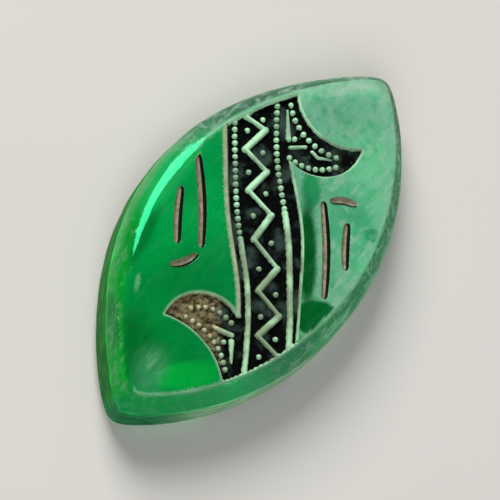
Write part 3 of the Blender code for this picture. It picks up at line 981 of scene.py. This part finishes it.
def base_zones(points):
    """Clear green up to the band's right row, which turns into cloudy green beyond it."""
    along, across = to_carving(points[:, :2]).T
    cloudy = ramp(right_row(along) - across, CLOUDY_RUN)
    tint = np.tile(CLEAR_GREEN, (len(points), 1))
    return lay(tint, np.full(len(points), CLEAR_FROST), cloudy, CLOUDY_GREEN, CLOUDY_FROST)


def stone_zones(points, at_edge):
    """Tint and frost of the stone at each point, with painted highlights, glows and shade among them; at_edge
    holds on the table's edge and off the table.
    """
    x, y, z = points.T
    left = ramp(y - TIP_LINE_Y, SIDE_RUN)
    soft_left = softness(x, left)
    green_left = ramp(GREEN_TO_X - x, GREEN_RUN) * ramp(x - SOFT_FROM_X, SOFT_NEAR_RUN) * left
    far = ramp(x - FAR_FROM_X, FAR_RUN)
    past_tip = ramp(x - WALL_FROM_X, WALL_RUN_X)[:, None]
    wall_green = np.array(TIP_WALL_GREEN) + (np.array(WALL_GREEN) - TIP_WALL_GREEN) * past_tip
    bevel_green = np.column_stack([np.interp(x, BEVEL_PLACES, channel) for channel in zip(*BEVEL_GREENS)])
    bevel_frost = BEVEL_FROSTS[0] + (BEVEL_FROSTS[1] - BEVEL_FROSTS[0]) * far
    bevel = ramp(TABLE_Z - BEVEL_DROP - z, BEVEL_RUN) * (1 - green_left)
    wall_edge_z = WALL_TOP_Z + WALL_TINT_RISE
    wall = ramp(wall_edge_z + WALL_FAR_RISE * far - z, WALL_TINT_RUN) * (1 - green_left)
    left_wall = ramp(wall_edge_z - z, LEFT_WALL_RUN) * green_left
    back = ramp(BACK_TINT_Z - z, BACK_TINT_RUN)
    # Painted highlight: a pale line along the table's crisp edge
    painted_edge_highlight = bell(z, TABLE_Z - PAINTED_EDGE_HIGHLIGHT_DROP, PAINTED_EDGE_HIGHLIGHT_WIDTH) * (1 - soft_left) * at_edge
    crown = ramp(TABLE_Z - CROWN_DROP - z, CROWN_RUN) * soft_left

    # Tone zones, with a painted glow, highlight, streaks, glint and shade among them
    tint, frost = tint_zones(points, TONE_ZONES_AND_PAINTED_LIGHT, *base_zones(points))
    tint, frost = lay(tint, frost, crown, CROWN_GREEN, CROWN_FROST)
    # Painted highlight and painted bright and dark bands on the soft left crown
    tint, frost = tint_zones(points, PAINTED_CROWN_LIGHT_AND_SHADE, tint, frost)
    for share, colour, new_frost in (
        (bevel, bevel_green, bevel_frost),
        (wall, wall_green, WALL_FROST),
        (left_wall, LEFT_WALL_GREEN, LEFT_WALL_FROST),
        (back, CLEAR_GREEN, BACK_FROST),
        (painted_edge_highlight, PAINTED_EDGE_HIGHLIGHT, PAINTED_EDGE_HIGHLIGHT_FROST),
    ):
        tint, frost = lay(tint, frost, share, colour, new_frost)
    return np.column_stack([np.clip(tint, 0.0, 1.0), np.ones(len(points))]), frost


def new_material(name):
    """A material, its node tree and its one shader."""
    material = bpy.data.materials.new(name)
    material.use_nodes = True
    tree = material.node_tree
    return material, tree, tree.nodes["Principled BSDF"]


def node(tree, kind, **settings):
    """A new node with its settings."""
    made = tree.nodes.new(kind)
    for name, value in settings.items():
        setattr(made, name, value)
    return made


def layer(tree, name, output="Fac"):
    """The value of one of the mesh's layers, or its colour."""
    return node(tree, "ShaderNodeAttribute", attribute_name=name).outputs[output]


def texture(tree, scale, detail, roughness=0.5, stretch=None, turn=0.0):
    """Noise over the stone's own millimetres."""
    place = node(tree, "ShaderNodeTexCoord").outputs["Object"]
    if stretch:
        mapping = node(tree, "ShaderNodeMapping")
        mapping.inputs["Scale"].default_value = stretch
        mapping.inputs["Rotation"].default_value = (0.0, 0.0, math.radians(turn))
        tree.links.new(place, mapping.inputs["Vector"])
        place = mapping.outputs["Vector"]
    made = node(tree, "ShaderNodeTexNoise")
    made.inputs["Scale"].default_value = scale / MM
    made.inputs["Detail"].default_value = detail
    made.inputs["Roughness"].default_value = roughness
    tree.links.new(place, made.inputs["Vector"])
    return made.outputs["Fac"]


def remap(tree, value, low, high, new_low=0.0, new_high=1.0):
    """A value eased from one range into another."""
    made = node(tree, "ShaderNodeMapRange", interpolation_type="SMOOTHSTEP")
    for name, number in (("From Min", low), ("From Max", high), ("To Min", new_low), ("To Max", new_high)):
        made.inputs[name].default_value = number
    tree.links.new(value, made.inputs["Value"])
    return made.outputs["Result"]


def combine(tree, operation, first, second):
    """Two values put together by a sum, a product or the like."""
    made = node(tree, "ShaderNodeMath", operation=operation)
    tree.links.new(first, made.inputs[0])
    tree.links.new(second, made.inputs[1])
    return made.outputs[0]


def blend(tree, share, first, second, mode="MIX"):
    """One colour with a share of another over it; either is a colour of its own or a socket."""
    made = node(tree, "ShaderNodeMix", data_type="RGBA", blend_type=mode)
    tree.links.new(share, made.inputs["Factor"])
    for socket, value in ((made.inputs[6], first), (made.inputs[7], second)):
        if isinstance(value, tuple):
            socket.default_value = (*value, 1.0)
        else:
            tree.links.new(value, socket)
    return made.outputs[2]


def bump(tree, height, depth, normal=None, share=None):
    """The normal of a bumped surface, over another normal and by a share where they are given."""
    made = node(tree, "ShaderNodeBump")
    made.inputs["Strength"].default_value = 1.0
    made.inputs["Distance"].default_value = depth * MM
    tree.links.new(height, made.inputs["Height"])
    if share:
        tree.links.new(share, made.inputs["Strength"])
    if normal:
        tree.links.new(normal, made.inputs["Normal"])
    return made.outputs["Normal"]


def finish_material(tree, shader, colour, roughness, normal):
    tree.links.new(colour, shader.inputs["Base Color"])
    tree.links.new(roughness, shader.inputs["Roughness"])
    tree.links.new(normal, shader.inputs["Normal"])


def stone_colour(tree, frost, lip):
    """The stone's tint with its shades and veins, flecked where it is cloudy and paler on worn lips."""
    clouds = texture(tree, *CLOUDS)
    veins = texture(tree, *VEINS)
    flecks = texture(tree, *FLECKS)
    cloudy = remap(tree, frost, *CLOUDY_SHARE)
    shade = remap(tree, clouds, *STONE_SHADE_SHARE)
    colour = blend(tree, shade, layer(tree, "tint", "Color"), STONE_SHADE)
    for share, mask, paint in (
        (remap(tree, veins, *STONE_VEIN_SHARE), frost, STONE_VEIN),
        (remap(tree, flecks, *CLOUD_SHADE_SHARE), cloudy, CLOUD_SHADE),
        (remap(tree, flecks, *CLOUD_FLECK_SHARE), cloudy, CLOUD_FLECK),
        (remap(tree, veins, *CLOUD_VEIN_SHARE), cloudy, CLOUD_VEIN),
    ):
        colour = blend(tree, combine(tree, "MULTIPLY", share, mask), colour, paint)
    return blend(tree, lip, colour, STONE_LIP)


def stone_material():
    """Green stone: clear and polished on the left, cloudy on the right, frosted on the bevels."""
    material, tree, shader = new_material("green_stone")
    shader.inputs["Transmission Weight"].default_value = STONE_CLEARNESS
    shader.inputs["IOR"].default_value = STONE_IOR
    shader.inputs["Specular IOR Level"].default_value = STONE_SPECULAR
    shader.inputs["Specular Tint"].default_value = STONE_SPECULAR_TINT
    frost = layer(tree, "frost")
    lip = remap(tree, layer(tree, "lip"), *STONE_LIP_SHARE)
    scratches = texture(tree, *SCRATCHES)
    rough = remap(tree, frost, *FROST_ROUGHNESS)
    rough = combine(tree, "MAXIMUM", rough, remap(tree, lip, *LIP_ROUGHNESS))
    worn = combine(tree, "MULTIPLY", remap(tree, scratches, *SCRATCH_ROUGHNESS), frost)
    rough = combine(tree, "ADD", rough, worn)
    waves = bump(tree, texture(tree, *WAVES), WAVE_DEPTH)
    rippled = remap(tree, frost, *RIPPLED_SHARE)
    ripples = bump(tree, texture(tree, *RIPPLES), RIPPLE_DEPTH, waves, rippled)
    grain = bump(tree, scratches, SCRATCH_DEPTH, ripples, frost)
    finish_material(tree, shader, stone_colour(tree, frost, lip), rough, grain)
    return material


def wall_material():
    """The low wall round the stone, ground dull and streaked along its length."""
    material, tree, shader = new_material("ground_wall")
    shader.inputs["Specular IOR Level"].default_value = WALL_SPECULAR
    streaks = texture(tree, *WALL_STREAKS)
    share = remap(tree, streaks, *WALL_STREAK_SHARE)
    colour = blend(tree, share, layer(tree, "tint", "Color"), WALL_STREAK, "MULTIPLY")
    rough = remap(tree, streaks, *WALL_ROUGHNESS)
    finish_material(tree, shader, colour, rough, bump(tree, streaks, STREAK_DEPTH))
    return material


def carving_material():
    """The sunk ground is blackened, the relief worn pale, and the lower horn full of tan soil."""
    material, tree, shader = new_material("blackened_carving")
    shader.inputs["Specular IOR Level"].default_value = CARVING_SPECULAR
    raised = layer(tree, "raised")
    grit = texture(tree, *CARVING_GRIT)
    stain = texture(tree, *CARVING_STAIN)
    worn = combine(tree, "ADD", raised, remap(tree, grit, *GRIT_WEAR))
    ground = blend(tree, remap(tree, stain, *GROUND_GREY_SHARE), GROUND_BLACK, GROUND_GREY)
    pale = blend(tree, remap(tree, stain, *RELIEF_GREY_SHARE), RELIEF_PALE, RELIEF_GREY)
    dust = combine(tree, "MULTIPLY", layer(tree, "dust"), remap(tree, stain, *DUST_SHARE))
    relief = blend(tree, dust, pale, RELIEF_DUST)
    colour = blend(tree, remap(tree, worn, *RELIEF_SHARE), ground, relief)
    grain = remap(tree, grit, *SOIL_GRAIN_SHARE)
    low_soil = blend(tree, grain, SOIL_DARK, SOIL_TAN)
    high_soil = blend(tree, grain, SOIL_WORN, SOIL_PALE)
    soil = blend(tree, remap(tree, raised, *SOIL_WORN_SHARE), low_soil, high_soil)
    colour = blend(tree, layer(tree, "soil"), colour, soil)
    rough = remap(tree, worn, *CARVING_ROUGHNESS)
    finish_material(tree, shader, colour, rough, bump(tree, grit, GRIT_DEPTH))
    return material


def stroke_material():
    """Tan patina in the strokes and on the strip by the band, with shadow painted black along one side."""
    material, tree, shader = new_material("stroke_patina_and_painted_shadow")
    shader.inputs["Specular IOR Level"].default_value = PATINA_SPECULAR
    grit = texture(tree, *PATINA_GRIT)
    tan = blend(tree, remap(tree, grit, *PATINA_BROWN_SHARE), PATINA_TAN, PATINA_BROWN)
    tan = blend(tree, remap(tree, layer(tree, "lip"), *PATINA_LIP_SHARE), tan, PATINA_LIP)
    # Painted shadow: black laid over the patina where the shaded_side layer says
    colour = blend(tree, remap(tree, layer(tree, "shaded_side"), *PAINTED_SHADOW_BLACK_SHARE), tan, PAINTED_SHADOW_BLACK)
    rough = remap(tree, grit, *PATINA_ROUGHNESS)
    finish_material(tree, shader, colour, rough, bump(tree, grit, GRIT_DEPTH))
    return material


def floor_material():
    """A plain pale floor with a faint unevenness of tone."""
    material, tree, shader = new_material("pale_floor")
    colour = blend(tree, texture(tree, *FLOOR_SPECKS), FLOOR_GREY, FLOOR_PALE)
    tree.links.new(colour, shader.inputs["Base Color"])
    shader.inputs["Roughness"].default_value = FLOOR_ROUGHNESS
    return material


def build_floor():
    """The stage that the stone lies on, a hair below its back."""
    half = FLOOR_REACH * MM
    drop = -FLOOR_DROP * MM
    mesh = bpy.data.meshes.new("floor")
    corners = [(-half, -half, drop), (half, -half, drop), (half, half, drop), (-half, half, drop)]
    mesh.from_pydata(corners, [], [(0, 1, 2, 3)])
    mesh.materials.append(floor_material())
    made = bpy.data.objects.new("floor", mesh)
    bpy.context.scene.collection.objects.link(made)


def aim(made, place, target):
    made.location = place
    made.rotation_euler = (Vector(target) - Vector(place)).to_track_quat("-Z", "Y").to_euler()


def add_light(name, place, size, power, colour):
    data = bpy.data.lights.new(name, "AREA")
    data.shape = "DISK"
    data.size = size
    data.energy = power
    data.color = colour
    made = bpy.data.objects.new(name, data)
    bpy.context.scene.collection.objects.link(made)
    aim(made, place, (0, 0, 0))


def build_lights():
    """A soft key from the far left of the stone, a broad fill from its near right, and a pale surround."""
    add_light("key", *KEY_LIGHT)
    add_light("fill", *FILL_LIGHT)
    world = bpy.data.worlds.new("studio")
    world.use_nodes = True
    background = world.node_tree.nodes["Background"]
    background.inputs["Color"].default_value = SURROUND_COLOUR
    background.inputs["Strength"].default_value = SURROUND_STRENGTH
    bpy.context.scene.world = world


def build_camera():
    """Looks down from the near tip's side, rolled so that the stone lies as it does in the photograph."""
    lengthwise = Vector((math.cos(VIEW_TILT), 0.0, math.sin(VIEW_TILT)))
    crosswise = Vector((0.0, 1.0, 0.0))
    towards = Vector((-math.sin(VIEW_TILT), 0.0, math.cos(VIEW_TILT)))
    right = (ROLL_COS * lengthwise - ROLL_SIN * crosswise).normalized()
    up = (ROLL_SIN * lengthwise + ROLL_COS * crosswise).normalized()
    middle = Vector(VIEW_MIDDLE) * MM
    half_frame = FRAME_PIXELS / 2
    target = middle - right * ((GEM_PIXEL_X - half_frame) / PIXELS_PER_MM * MM)
    target = target + up * ((GEM_PIXEL_Y - half_frame) / PIXELS_PER_MM * MM)
    data = bpy.data.cameras.new("camera")
    data.sensor_width = SENSOR_WIDTH
    data.lens = SENSOR_WIDTH * CAMERA_DISTANCE / (FRAME_PIXELS / PIXELS_PER_MM * MM)
    data.clip_start = CAMERA_CLIP
    made = bpy.data.objects.new("camera", data)
    bpy.context.scene.collection.objects.link(made)
    turn = Matrix((right, up, towards)).transposed().to_4x4()
    made.matrix_world = Matrix.Translation(target + towards * CAMERA_DISTANCE) @ turn
    bpy.context.scene.camera = made


gem = build_gem()
for material in (stone_material(), carving_material(), stroke_material(), wall_material()):
    gem.data.materials.append(material)
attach(gem, "root")
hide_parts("gem")
build_floor()
build_lights()
build_camera()
bpy.context.scene.view_settings.view_transform = "Standard"
